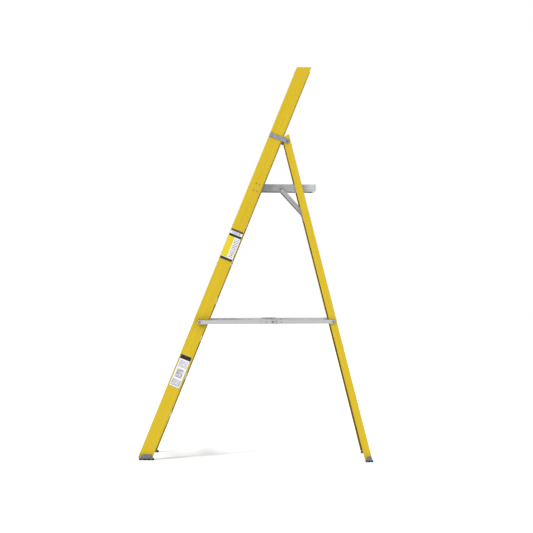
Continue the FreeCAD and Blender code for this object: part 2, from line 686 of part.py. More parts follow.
def rear_rail():
    """Narrow channel with a level foot and a slanted top, its flanges turned inward."""
    body = new_body("rear_rail_right", REAR_RAIL)
    side = sketch_on(body, "YZ_Plane")
    feet = [(depth, in_rail(rear_along(depth, size("rail_end")), rear_splay))
            for depth in (-rear_half_depth, rear_half_depth)]
    outline(side, feet + rear_top())
    pad(body, side, "rear_flange", backward=True)
    hollow = sketch_on(body, "YZ_Plane", "-rear_wall")
    below = 2 * feet[0][1]
    outline(hollow, [("rear_wall - rear_depth / 2", below), ("rear_depth / 2 - rear_wall", below),
                     ("rear_depth / 2 - rear_wall", "2 * rear_top_back"),
                     ("rear_wall - rear_depth / 2", "2 * rear_top_back")])
    pocket(body, hollow, "rear_flange", centred=False)
    round_edges(body, lambda edge: edge.Length > 1000 and edge.BoundBox.XMin > -1e-6
                and edge.BoundBox.XMax < 1e-6, "rear_corner")
    across = -rear_middle
    spots = [(across, in_rail(along, rear_splay, across)) for along in cross_rivet_alongs]
    drill(body, "XZ_Plane", "-(rear_depth - rear_wall) / 2", spots, HOLE, "2 * rear_wall")
    spots = [(across, in_rail(along, rear_splay, across)) for along in block_rivet_alongs]
    drill(body, "XZ_Plane", "0", spots, HOLE, "2 * rear_depth")
    drill(body, "YZ_Plane", "-rear_wall / 2", [(rear_boot_spot.y, in_rail(rear_boot_spot.z, rear_splay))],
          HOLE, "2 * rear_wall")
    drill_level(body, ("0", "0"), "pivot_bolt_radius + running_fit", "4 * rear_wall", rear_splay)
    return body


def rear_rivet(depth, along, turn, grip):
    """Rivet through a rear rail's flange."""
    spot = at(REAR_RAIL, -rear_middle, depth, in_rail(along, rear_splay, -rear_middle))
    rear_rivets.append(rivet(grip, spot, turn))
    return REAR.inverse().multVec(spot.Base)


def rear_cross(label, along):
    """Channel between the rear rails, riveted to the inside of their rear flanges."""
    depth = rear_half_depth - size("rear_wall")
    body = new_body(label, REAR * Placement(Vector(0, depth, along), Rotation()))
    section = sketch_on(body, "YZ_Plane")
    outline(section, [("0", "-cross_height / 2"), ("0", "cross_height / 2"),
                      ("-cross_flange", "cross_height / 2"),
                      ("-cross_flange", "cross_height / 2 - cross_wall"),
                      ("-cross_wall", "cross_height / 2 - cross_wall"),
                      ("-cross_wall", "cross_wall - cross_height / 2"),
                      ("-cross_flange", "cross_wall - cross_height / 2"),
                      ("-cross_flange", "-cross_height / 2")])
    half = rear_half_inside(along + size("cross_height") / 2) - size("step_end_gap")
    pad(body, section, 2 * half, centred=True)
    holes = []
    for side in (-1, 1):
        level = along + side * size("cross_rivet_spread")
        spot = rear_rivet(rear_half_depth, level, HEAD_REAR, size("rear_wall") + size("cross_wall"))
        holes += [(-spot.x, spot.z - along), (spot.x, spot.z - along)]
    drill(body, "XZ_Plane", "cross_wall / 2", holes, HOLE, "2 * cross_wall")
    return body


BAR = REAR * Placement(Vector(0, 0, bar_along), REAR.Rotation.inverted())


def support_bar():
    """Tube between the rear rails that the platform's struts hook over."""
    half = rear_half_inside(bar_along) - size("rear_face_gap")
    return level_tube("support_bar", BAR, -half, half, "bar_radius", "bar_radius - bar_wall")


def support_block():
    """Block inside the rear rail, riveted through both flanges, that holds the bar's end."""
    seat = in_rail(bar_along, rear_splay, -size("rear_wall"))
    body = new_body("support_block_right",
                    REAR_RAIL * Placement(Vector(-size("rear_wall"), 0, seat), Rotation()))
    side = sketch_on(body, "YZ_Plane")
    wide = "(rear_depth / 2 - rear_wall)"
    outline(side, [("-" + wide, "-bar_block_height / 2"), (wide, "-bar_block_height / 2"),
                   (wide, "bar_block_height / 2"), ("-" + wide, "bar_block_height / 2")])
    pad(body, side, "bar_block_width", backward=True)
    drill_level(body, ("0", "0"), "bar_radius + running_fit", "6 * bar_block_width", rear_splay)
    across = size("rear_wall") - rear_middle
    drill(body, "XZ_Plane", "0", [(across, in_rail(along, rear_splay, -rear_middle) - seat)
                                  for along in block_rivet_alongs], HOLE, "2 * rear_depth")
    return body


# ---------------------------------------------------------------- feet
def lug_outline(start, length, lugs, top):
    """Side outline of a rubber tread: a flat top and square lugs below."""
    block = length / (2 * lugs - 1)
    points = []
    for index in range(lugs):
        near = start + 2 * index * block
        points += [(near, "0"), (near + block, "0")]
        if index < lugs - 1:
            points += [(near + block, "tread_groove"), (near + 2 * block, "tread_groove")]
    return points + [(start + length, top), (start, top)]


def foot(end, frame, rail, splay, middle, half, flange, lengths, lugs, spots):
    """Boot (a plate on the web and a sole under the rail) and its rubber tread, right side."""
    top_length, base_length, tread_length = lengths
    sole_top = size("rail_end") - flange * math.tan(splay) - size("sole_play")
    sole_low = sole_top - size("sole_thickness")
    plate = new_body(end + "_boot_plate", rail)
    corners = []
    for reach, height in ((-base_length / 2, sole_low), (base_length / 2, sole_low),
                          (top_length / 2, size("boot_top")), (-top_length / 2, size("boot_top"))):
        corner = frame.inverse().multVec(Vector(0, middle + reach, height))
        corners.append((corner.y, in_rail(corner.z, splay)))
    side = sketch_on(plate, "YZ_Plane")
    outline(side, corners)
    pad(plate, side, "boot_wall")
    drill(plate, "YZ_Plane", "boot_wall / 2", spots, HOLE, "2 * boot_wall")
    near = half - flange - size("boot_wall")
    width = flange + 2 * size("boot_wall") + size("sole_lap")
    sole = new_body(end + "_sole", Placement(Vector(near, middle, 0), Rotation()))
    strip = sketch_on(sole, "YZ_Plane")
    outline(strip, [(-tread_length / 2, sole_low), (tread_length / 2, sole_low),
                    (tread_length / 2, sole_top), (-tread_length / 2, sole_top)])
    pad(sole, strip, width)
    boot = doc.addObject("Part::MultiFuse", end + "_boot_right")
    boot.Label = end + "_boot_right"
    boot.Shapes = [plate, sole]
    tread = new_body(end + "_tread_right", Placement(Vector(near, middle, 0), Rotation()))
    teeth = sketch_on(tread, "YZ_Plane")
    outline(teeth, lug_outline(-tread_length / 2, tread_length, lugs, sole_low))
    pad(tread, teeth, width)
    doc.recompute()
    return boot, tread


# ---------------------------------------------------------------- platform
deck_under = size("hinge_below_deck") - size("deck_rib") - size("deck_plate")
side_low = deck_under - size("side_height")


def deck():
    """Ribbed plate on top of the platform."""
    body = new_body("platform_deck", HINGE)
    plate = sketch_on(body, "YZ_Plane")
    plate_top = deck_under + size("deck_plate")
    outline(plate, [("-deck_front_reach", deck_under), ("deck_rear_reach", deck_under),
                    ("deck_rear_reach", plate_top), ("-deck_front_reach", plate_top)])
    pad(body, plate, "2 * platform_half", centred=True)
    ribs = sketch_on(body, "YZ_Plane")
    start = "-deck_front_reach + deck_rib_width / 2"
    root = plate_top - size("rib_root")
    outline(ribs, [(start, root), (start + " + deck_rib_width", root),
                   (start + " + deck_rib_width", "hinge_below_deck"), (start, "hinge_below_deck")])
    rib = pad(body, ribs, "2 * (platform_half - side_flange)", centred=True)
    length = size("deck_front_reach") + size("deck_rear_reach") - 2 * size("deck_rib_width")
    repeat(body, [rib], "Y_Axis", "deck_rib_pitch", int(length // size("deck_rib_pitch")) + 1)
    sketch = sketch_on(body, "XY_Plane", str(deck_under + size("deck_plate") / 2))
    circles(sketch, [(side * deck_rivet_x, place) for side in (-1, 1) for place in deck_rivet_ys], HOLE)
    pocket(body, sketch, "2 * deck_plate")
    return body


deck_rivet_x = size("platform_half") - size("side_flange") / 2
beam_middles = (-size("deck_front_reach") + size("beam_flange") / 2,
                size("deck_rear_reach") - size("beam_flange") / 2)
between = (beam_middles[1] - beam_middles[0]) / 4
deck_rivet_ys = [beam_middles[0] + between * index for index in range(5)]


def platform_side():
    """Channel along one side of the platform, its flanges turned inward."""
    body = new_body("platform_side_right", HINGE)
    section = sketch_on(body, "XZ_Plane", "deck_front_reach")
    low = str(side_low)
    outline(section, [("platform_half", low), ("platform_half", deck_under),
                      ("platform_half - side_flange", deck_under),
                      ("platform_half - side_flange", "%s - side_wall" % deck_under),
                      ("platform_half - side_wall", "%s - side_wall" % deck_under),
                      ("platform_half - side_wall", low + " + side_wall"),
                      ("platform_half - side_flange", low + " + side_wall"),
                      ("platform_half - side_flange", low)])
    pad(body, section, "deck_front_reach + deck_rear_reach", backward=True)
    corner = sketch_on(body, "YZ_Plane", "platform_half")
    beyond = "deck_rear_reach + side_corner"
    below = low + " - side_corner"
    cut = "side_corner * (1 - cos(45))"
    outline(corner, [("deck_rear_reach - side_corner", below), (beyond, below),
                     (beyond, low + " + side_corner"), ("deck_rear_reach", low + " + side_corner"),
                     ("deck_rear_reach - " + cut, low + " + " + cut),
                     ("deck_rear_reach - side_corner", low)])
    pocket(body, corner, "4 * side_flange")
    drill(body, "YZ_Plane", "platform_half - side_wall / 2", [("0", "0")],
          "hinge_rod_radius + running_fit", "2 * side_wall")
    drill(body, "YZ_Plane", "platform_half - side_wall / 2", [("strut_pin_reach", pin_drop)],
          "strut_pin_radius", "2 * side_wall")
    sketch = sketch_on(body, "XY_Plane", str(deck_under - size("side_wall") / 2))
    circles(sketch, [(deck_rivet_x, place) for place in deck_rivet_ys], HOLE)
    pocket(body, sketch, "2 * side_wall")
    return body


pin_drop = "hinge_below_deck - strut_pin_below_deck"


def platform_beam(label, face, inward):
    """Channel across the platform between its sides, open towards the platform's middle."""
    body = new_body(label, HINGE * Placement(Vector(0, face, 0), Rotation()))
    high = deck_under - size("side_wall")
    low = side_low + size("side_wall")
    wall = size("beam_wall")
    reach = inward * size("beam_flange")
    section = sketch_on(body, "YZ_Plane")
    outline(section, [("0", low), ("0", high), (reach, high), (reach, high - wall),
                      (inward * wall, high - wall), (inward * wall, low + wall), (reach, low + wall),
                      (reach, low)])
    pad(body, section, "2 * (platform_half - side_wall)", centred=True)
    sketch = sketch_on(body, "XY_Plane", str(high - wall / 2))
    circles(sketch, [(side * deck_rivet_x, reach / 2) for side in (-1, 1)], HOLE)
    pocket(body, sketch, "2 * beam_wall")
    return body


def deck_rivets():
    """Rivets down through the deck, the side channels and, at the corners, the beams."""
    for place in deck_rivet_ys:
        grip = size("deck_plate") + size("side_wall")
        if place in (deck_rivet_ys[0], deck_rivet_ys[-1]):
            grip += size("beam_wall")
        platform_rivets.append(rivet(grip, at(HINGE, deck_rivet_x, place, deck_under + size("deck_plate")),
                                     HEAD_UP))


# ---------------------------------------------------------------- struts
strut_pin = HINGE.multVec(Vector(0, size("strut_pin_reach"), number(pin_drop)))
bar_centre = BAR.Base
strut_run = math.hypot(bar_centre.y - strut_pin.y, bar_centre.z - strut_pin.z)
strut_slope = math.degrees(math.atan2(bar_centre.z - strut_pin.z, bar_centre.y - strut_pin.y))
strut_inside = size("platform_half") + size("strut_gap")


def strut():
    """Channel pinned to the platform's side, with a hook that drops over the rear bar."""
    place = Placement(Vector(strut_inside, strut_pin.y, strut_pin.z), Rotation(Vector(1, 0, 0), strut_slope))
    body = new_body("strut_right", place)
    bar = sketch_on(body, "YZ_Plane")
    outline(bar, [("0", "-strut_half"), (strut_run, "-strut_half"), (strut_run, "strut_half"),
                  ("0", "strut_half")])
    pad(body, bar, "strut_depth")
    for along, radius in ((0, "strut_half"), (strut_run, "hook_half")):
        disc(body, "YZ_Plane", "0", (along, "0"), radius, "strut_depth")
    hollow = sketch_on(body, "YZ_Plane")
    floor_end = "%s - hook_half - bar_radius" % strut_run
    outline(hollow, [("strut_half", "strut_wall - strut_half"), (floor_end, "strut_wall - strut_half"),
                     (floor_end, "strut_half - strut_wall"), ("strut_half", "strut_half - strut_wall")])
    pocket(body, hollow, "strut_depth - strut_wall", centred=False, backward=True)
    drill(body, "YZ_Plane", "strut_depth / 2", [("0", "0")], "strut_pin_radius + running_fit",
          "2 * strut_depth")
    drill(body, "YZ_Plane", "strut_depth / 2", [(strut_run, "0")], "bar_radius + hook_play",
          "2 * strut_depth")
    mouth = sketch_on(body, "YZ_Plane", "strut_depth / 2")
    near = "%s - bar_radius - hook_play" % strut_run
    far = "%s + bar_radius + hook_play" % strut_run
    outline(mouth, [(near, "-2 * hook_half"), (far, "-2 * hook_half"), (far, "0"), (near, "0")])
    pocket(body, mouth, "2 * strut_depth")
    return body


def strut_pin_solid():
    """Pin through the platform's side and the strut, headed at both ends."""
    place = Placement(Vector(0, strut_pin.y, strut_pin.z), Rotation())
    tail = size("platform_half") - size("side_wall") - size("strut_pin_tail")
    outer = strut_inside + size("strut_depth") + 4 * size("running_fit")
    pin = level_tube("strut_pin_right", place, tail, outer, "strut_pin_radius")
    disc(pin, "YZ_Plane", str(outer), ("0", "0"), "strut_pin_head", "strut_pin_head_rise")
    disc(pin, "YZ_Plane", str(tail), ("0", "0"), "strut_pin_head", "strut_pin_tail")
    return pin


# ---------------------------------------------------------------- spreaders
spread_front = FRONT.multVec(Vector(0, size("spread_front_inset"), spread_along))
spread_drop = (pivot_height - size("spread_rear_height")) / math.cos(REAR_LEAN)
spread_rear = REAR.multVec(Vector(0, 0, -spread_drop))
spread_length = math.hypot(spread_rear.y - spread_front.y, spread_rear.z - spread_front.z)
spread_slope = math.degrees(math.atan2(spread_rear.z - spread_front.z, spread_rear.y - spread_front.y))
front_arm = size("spread_front_share") * spread_length
rear_arm = spread_length - front_arm
inner_layer = rear_half(-spread_drop - 2 * size("spread_half")) + size("spread_rail_gap")
outer_layer = inner_layer + size("spread_thickness") + size("spread_layer_gap")
lock_layer = outer_layer + size("spread_thickness")
SPREAD = Placement(Vector(0, spread_front.y, spread_front.z), Rotation(Vector(1, 0, 0), spread_slope))


def arm(label, layer, start, length, holes):
    """Flat bar of a spreader with round ends."""
    body = new_body(label, SPREAD * Placement(Vector(layer, start, 0), Rotation()))
    bar = sketch_on(body, "YZ_Plane")
    outline(bar, [("0", "-spread_half"), (length, "-spread_half"), (length, "spread_half"),
                  ("0", "spread_half")])
    pad(body, bar, "spread_thickness")
    for along in (0, length):
        disc(body, "YZ_Plane", "0", (along, "0"), "spread_half", "spread_thickness")
    for along, radius in holes:
        drill(body, "YZ_Plane", "spread_thickness / 2", [(along, "0")], radius, "2 * spread_thickness")
    return body


def lock_plate():
    """Plate on the front arm at the middle hinge; its top tab stops the arms dropping past straight."""
    body = new_body("lock_plate_right", SPREAD * Placement(Vector(lock_layer, front_arm, 0), Rotation()))
    low_tab = "spread_half + lock_tab_gap"
    face = sketch_on(body, "YZ_Plane")
    outline(face, [("-lock_front", "-spread_half"), ("lock_rear", "-spread_half"),
                   ("lock_rear", low_tab + " + lock_tab_rise"),
                   ("-lock_front", low_tab + " + lock_tab_rise")])
    pad(body, face, "lock_thickness")
    tab = sketch_on(body, "YZ_Plane")
    outline(tab, [("-lock_front + lock_thickness * 3", low_tab), ("lock_rear - lock_thickness", low_tab),
                  ("lock_rear - lock_thickness", low_tab + " + lock_tab_rise"),
                  ("-lock_front + lock_thickness * 3", low_tab + " + lock_tab_rise")])
    pad(body, tab, "2 * spread_thickness + spread_layer_gap", backward=True)
    drill(body, "YZ_Plane", "lock_thickness / 2", [("0", "0")], "spread_pin_radius", "2 * lock_thickness")
    drill(body, "YZ_Plane", "lock_thickness / 2", [("-lock_rivet_reach", "0")], HOLE, "2 * lock_thickness")
    return body


def headed_pin(label, frame, near, far, radius, tail_rise):
    """Pin along X with a round head outside and an optional flat tail inside."""
    pin = level_tube(label, frame, near, far, radius)
    disc(pin, "YZ_Plane", str(far), ("0", "0"), "spread_head_radius", "spread_head_rise")
    if tail_rise:
        disc(pin, "YZ_Plane", str(near), ("0", "0"), "spread_head_radius", tail_rise)
    return pin


def spreader_bolt():
    """Shoulder bolt from the front rail's web out to the front arm."""
    web = FRONT_RAIL.multVec(Vector(0, size("spread_front_inset"), in_rail(spread_along, front_splay))).x
    tilt = size("spread_half") * math.tan(front_splay)
    tail = web - size("front_wall") - size("spread_bolt_tail")
    head = lock_layer + size("spread_layer_gap")
    bolt = level_tube("spreader_bolt_right", SPREAD, tail, head, "spread_pin_radius")
    disc(bolt, "YZ_Plane", str(head), ("0", "0"), "spread_head_radius", "spread_head_rise")
    shoulder = outer_layer - size("spread_layer_gap") - web - tilt
    disc(bolt, "YZ_Plane", str(web + tilt), ("0", "0"), "spread_shoulder", shoulder)
    return bolt


# ---------------------------------------------------------------- labels
def label(name, width, length, centre):
    """Thin plate of printed film on the right front rail's web."""
    along = in_rail(along_at(size("front_depth") / 2, size(centre)), front_splay)
    film = doc.addObject("Part::Box", name)
    film.Label = name
    film.setExpression("Length", bind("label_thickness"))
    film.setExpression("Width", bind(width))
    film.setExpression("Height", bind(length))
    film.Placement = FRONT_RAIL * Placement(Vector(0, (size("front_depth") - size(width)) / 2,
                                                   along - size(length) / 2), Rotation())
    return film


# ---------------------------------------------------------------- assembly
nodes = []


def keep(*pieces):
    nodes.extend(pieces)
    return pieces[0]


def pair(piece):
    """A right-hand piece and its left-hand mirror image, both kept."""
    keep(piece, mirrored(piece.Label.replace("_right", "_left"), piece))


def twins(name, piece):
    """Two identical small pieces, one each side, kept under one label."""
    keep(group(name, both_sides([piece.Shape])))


pair(front_rail())
for index in range(STEP_COUNT):
    keep(step(index))
keep(top_tie())
pair(knee_brace())
pair(hinge_bracket())
keep(hinge_rod())
twins("hinge_spacers", hinge_spacers())
pair(pivot_plate())
twins("pivot_bolts", pivot_bolt())
twins("pivot_nuts", pivot_nut())

pair(rear_rail())
for name, along in zip(("rear_cross_lower", "rear_cross_upper"), cross_alongs):
    keep(rear_cross(name, along))
keep(support_bar())
pair(support_block())
for along in block_rivet_alongs:
    rear_rivet(rear_half_depth, along, HEAD_REAR, size("rear_depth"))

front_middle_y = foot_y + front_pad_from_foot + size("front_tread_length") / 2
front_boot, front_tread = foot(
    "front", FRONT, FRONT_RAIL, front_splay, front_middle_y, front_half(0), size("front_flange"),
    [size(name) for name in ("front_boot_top", "front_boot_foot", "front_tread_length")],
    int(size("front_lugs")), front_boot_spots)
for depth, along in front_boot_spots:
    web_rivets.append(rivet(size("boot_wall") + size("front_wall"),
                            at(FRONT_RAIL, size("boot_wall"), depth, along), HEAD_RIGHT))
rear_spots = [(rear_boot_spot.y, in_rail(rear_boot_spot.z, rear_splay))]
rear_boot, rear_tread = foot(
    "rear", REAR, REAR_RAIL, rear_splay, rear_foot_from_foot + foot_y,
    rear_half(rear_along(0, 0)), size("rear_flange"),
    [size(name) for name in ("rear_boot_top", "rear_boot_foot", "rear_tread_length")],
    int(size("rear_lugs")), rear_spots)
for depth, along in rear_spots:
    rear_rivets.append(rivet(size("boot_wall") + size("rear_wall"),
                             at(REAR_RAIL, size("boot_wall"), depth, along), HEAD_RIGHT))
for piece in (front_boot, front_tread, rear_boot, rear_tread):
    pair(piece)

keep(deck())
pair(platform_side())
keep(platform_beam("platform_front_beam", -size("deck_front_reach"), 1))
keep(platform_beam("platform_rear_beam", size("deck_rear_reach"), -1))
deck_rivets()
twins("strut_pins", strut_pin_solid())
pair(strut())

PIN_HOLE = "spread_pin_radius + running_fit"
pair(arm("spreader_front_arm_right", outer_layer, 0, front_arm,
         [(0, PIN_HOLE), (front_arm, "spread_pin_radius"), (front_arm - size("lock_rivet_reach"), HOLE)]))
pair(arm("spreader_rear_arm_right", inner_layer, front_arm, rear_arm,
         [(0, PIN_HOLE), (rear_arm, "spread_pin_radius"), (size("stud_reach"), HOLE)]))
pair(lock_plate())
twins("spreader_bolts", spreader_bolt())
elbow = SPREAD * Placement(Vector(0, front_arm, 0), Rotation())
lock_pin = headed_pin("lock_pin", elbow, inner_layer - size("lock_pin_tail") - size("lock_pin_gap"),
                      lock_layer + size("lock_thickness"), "spread_pin_radius", "lock_pin_tail")
lock_rivet = rivet(size("lock_thickness") + size("spread_thickness"),
                   at(SPREAD, lock_layer + size("lock_thickness"), front_arm - size("lock_rivet_reach"), 0),
                   HEAD_RIGHT)
keep(group("lock_rivets_right", [lock_pin.Shape, lock_rivet]))
keep(group("lock_rivets_left", both_sides([lock_pin.Shape, lock_rivet])[2:]))
tail = SPREAD * Placement(Vector(0, spread_length, 0), Rotation())
tail_pin = headed_pin("tail_pin", tail, inner_layer, inner_layer + size("spread_thickness"),
                      "spread_pin_radius", None)
stud = rivet(size("spread_thickness"), at(SPREAD, inner_layer + size("spread_thickness"),
                                          front_arm + size("stud_reach"), 0), HEAD_RIGHT)
keep(group("rear_arm_rivets_right", [tail_pin.Shape, stud]))
keep(group("rear_arm_rivets_left", both_sides([tail_pin.Shape, stud])[2:]))

keep(label("label_upper", "upper_label_width", "upper_label_length", "upper_label_centre"))
keep(label("label_lower", "lower_label_width", "lower_label_length", "lower_label_centre"))
keep(group("flange_rivets", both_sides(flange_rivets)))
keep(group("web_rivets", both_sides(web_rivets)))
keep(group("rear_rivets", both_sides(rear_rivets)))
keep(group("platform_rivets", both_sides(platform_rivets)))

# ---------------------------------------------------------------- check and write
doc.recompute()
for item in doc.Objects:
    if "Invalid" in item.State or "Error" in item.State:
        raise RuntimeError("%s did not compute: %s" % (item.Name, item.State))
os.makedirs("parts", exist_ok=True)
for node in nodes:
    shape = node.Shape
    if shape.isNull() or not shape.isValid():
        raise RuntimeError("%s has no valid shape" % node.Label)
    if min(solid.Volume for solid in shape.Solids) <= 0:
        raise RuntimeError("%s has a solid turned inside out" % node.Label)
    shape.exportStep("parts/" + node.Label + ".step")

whole = Part.makeCompound([node.Shape for node in nodes]).BoundBox
print("nodes", len(nodes), "box", [round(value, 2) for value in (
    whole.XMin, whole.YMin, whole.ZMin, whole.XMax, whole.YMax, whole.ZMax)])
print("pivot", round(pivot_y, 3), pivot_height, "hinge", HINGE.Base.y, HINGE.Base.z)
print("strut pin", strut_pin.y, strut_pin.z, "bar", bar_centre.y, bar_centre.z, "run", strut_run)
print("spread front", spread_front.y, spread_front.z, "rear", spread_rear.y, spread_rear.z,
      "arms", front_arm, rear_arm, "layers", inner_layer, lock_layer)
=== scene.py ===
"""Looks of the folding platform step ladder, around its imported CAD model. Metres, same frame as the CAD."""
import math

import bpy
from mathutils import Matrix, Vector

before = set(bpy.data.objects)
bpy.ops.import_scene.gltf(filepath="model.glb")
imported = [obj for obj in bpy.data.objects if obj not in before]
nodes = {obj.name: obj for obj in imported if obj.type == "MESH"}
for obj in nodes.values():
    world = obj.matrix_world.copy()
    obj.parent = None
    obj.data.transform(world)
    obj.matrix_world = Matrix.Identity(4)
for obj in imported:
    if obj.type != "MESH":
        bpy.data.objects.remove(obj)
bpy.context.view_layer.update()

MM = 0.001
UP = Vector((0, 0, 1))


# ---------------------------------------------------------------- colours and geometry read from the frame
def tone(red, green, blue):
    """Linear colour of an 8-bit display colour."""
    shares = [value / 255 for value in (red, green, blue)]
    return [s / 12.92 if s <= 0.04045 else ((s + 0.055) / 1.055) ** 2.4 for s in shares] + [1.0]


def grey(level):
    return tone(level, level, level)


def shaded(colour, share):
    """The colour made lighter or darker."""
    return [min(1.0, value * share) for value in colour[:3]] + [1.0]


def grain_of(node):
    """Direction that a node was extruded or pultruded along: the one that most edge length runs in."""
    points = node.data.vertices
    lengths = {}
    for edge in node.data.edges:
        run = points[edge.vertices[1]].co - points[edge.vertices[0]].co
        if run.length < MM:
            continue
        way = run.normalized()
        if max(way, key=abs) < 0:
            way.negate()
        key = tuple(round(value, 2) for value in way)
        total = lengths.setdefault(key, Vector())
        total += way * run.length
    return max(lengths.values(), key=lambda total: total.length).normalized()


# ---------------------------------------------------------------- shader graphs
class Graph:
    """A material's node tree, put together by short calls that each return a socket."""

    def __init__(self, name):
        self.material = bpy.data.materials.new(name)
        self.material.use_nodes = True
        self.tree = self.material.node_tree
        self.tree.nodes.clear()

    def node(self, kind, inputs=None, **settings):
        made = self.tree.nodes.new(kind)
        for key, value in settings.items():
            setattr(made, key, value)
        for key, value in (inputs or {}).items():
            if isinstance(value, bpy.types.NodeSocket):
                self.tree.links.new(value, made.inputs[key])
            else:
                made.inputs[key].default_value = value
        return made

    def place(self):
        """Position on the piece, which moves with it."""
        return self.node("ShaderNodeTexCoord").outputs["Object"]

    def along(self, grain):
        """Position turned so that the grain runs along Z."""
        turn = grain.rotation_difference(UP).to_euler()
        return self.node("ShaderNodeMapping", {"Vector": self.place(), "Rotation": turn}).outputs[0]

    def stretch(self, place, across, along):
        """Position scaled by one number across the grain and another along it."""
        return self.node("ShaderNodeVectorMath", {0: place, 1: (across, across, along)},
                         operation="MULTIPLY").outputs[0]

    def noise(self, place, scale=1.0, detail=2.0, roughness=0.5):
        return self.node("ShaderNodeTexNoise", {"Vector": place, "Scale": scale, "Detail": detail,
                                                "Roughness": roughness}).outputs[0]

    def cells(self, place, scale):
        """A flat random grey for each crystal-shaped cell."""
        return self.node("ShaderNodeTexVoronoi", {"Vector": place, "Scale": scale}).outputs["Color"]

    def openness(self, reach):
        """1 on open faces, falling towards 0 in corners and hollows within a reach."""
        made = self.node("ShaderNodeAmbientOcclusion", {"Distance": reach}, samples=6)
        return made.outputs["AO"]

    def inward(self):
        """1 on faces that look across the ladder at its other side, 0 elsewhere."""
        spot = self.node("ShaderNodeTexCoord").outputs
        facing = self.node("ShaderNodeSeparateXYZ", {0: spot["Normal"]}).outputs["X"]
        side = self.node("ShaderNodeSeparateXYZ", {0: spot["Object"]}).outputs["X"]
        return self.span(self.math("MULTIPLY", facing, self.math("SIGN", side)), -0.9, -0.6, 1, 0)

    def span(self, factor, low, high, new_low, new_high):
        """Factor from one range of numbers to another, held at the ends."""
        return self.node("ShaderNodeMapRange", {0: factor, 1: low, 2: high, 3: new_low, 4: new_high}).outputs[0]

    def math(self, operation, one, two=0.0):
        return self.node("ShaderNodeMath", {0: one, 1: two}, operation=operation).outputs[0]

    def mix(self, factor, one, two):
        """The first colour where the factor is 0 and the second where it is 1."""
        made = self.node("ShaderNodeMix", data_type="RGBA")
        for index, value in ((0, factor), (6, one), (7, two)):
            if isinstance(value, bpy.types.NodeSocket):
                self.tree.links.new(value, made.inputs[index])
            else:
                made.inputs[index].default_value = value
        return made.outputs[2]

    def bump(self, height, depth):
        """Surface raised by a height from 0 to 1, at a depth in metres."""
        return self.node("ShaderNodeBump", {"Height": height, "Distance": depth, "Strength": 1.0}).outputs[0]

    def shade(self, **inputs):
        """The finished surface. Names are the shader's own sockets, with _ for a space."""
        named = {key.replace("_", " "): value for key, value in inputs.items()}
        surface = self.node("ShaderNodeBsdfPrincipled", named)
        self.node("ShaderNodeOutputMaterial", {"Surface": surface.outputs[0]})
        return self.material


# ---------------------------------------------------------------- materials
CHANNEL_REACH = 90 * MM      # how far the rails' hollows gather shade
CORNER_REACH = 45 * MM       # the same for the aluminium pieces' corners
STRUT_SLOPE = 0.3            # the grain of the platform's level pieces rises less than this, the struts' more


def fibreglass(name, grain):
    """Yellow pultruded fibreglass: long streaks, a fibre veil and scuffs, with painted shade darkening hollows and
    inner sides to dull brown.
    """
    g = Graph(name)
    place = g.along(grain)
    streaks = g.noise(g.stretch(place, 120, 1.1), detail=3)
    veil = g.noise(g.stretch(place, 900, 90), detail=3, roughness=0.7)
    clouds = g.noise(place, 7, 2)
    yellow = tone(190, 162, 14)
    colour = g.mix(g.span(streaks, 0.35, 0.65, 0, 1), shaded(yellow, 0.95), shaded(yellow, 1.06))
    colour = g.mix(g.span(clouds, 0.3, 0.7, 0, 0.25), colour, tone(198, 168, 40))
    colour = g.mix(g.span(veil, 0.62, 0.8, 0, 0.28), colour, tone(206, 184, 84))
    scuffs = g.noise(g.stretch(place, 260, 9), detail=1)
    spots = g.noise(place, 11, 2)
    worn = g.math("MULTIPLY", g.span(scuffs, 0.68, 0.72, 0, 1), g.span(spots, 0.55, 0.62, 0, 0.45))
    colour = g.mix(worn, colour, tone(172, 152, 80))
    # Painted shade: corners and the hollows of the channels darkened to dull brown where they are less open.
    painted_hollow_shade = g.span(g.openness(CHANNEL_REACH), 0.4, 0.95, 0.76, 0)
    # Painted shade: faces that look across the ladder at its other side darkened towards dull brown.
    colour = g.mix(g.math("MULTIPLY", g.inward(), 0.5), colour, tone(68, 57, 14))
    colour = g.mix(painted_hollow_shade, colour, tone(62, 52, 14))
    height = g.math("ADD", g.math("MULTIPLY", veil, 0.7), g.math("MULTIPLY", streaks, 0.3))
    return g.shade(Base_Color=colour, Roughness=g.span(veil, 0.3, 0.7, 0.42, 0.56),
                   Normal=g.bump(height, 0.12 * MM), Specular_IOR_Level=0.3)


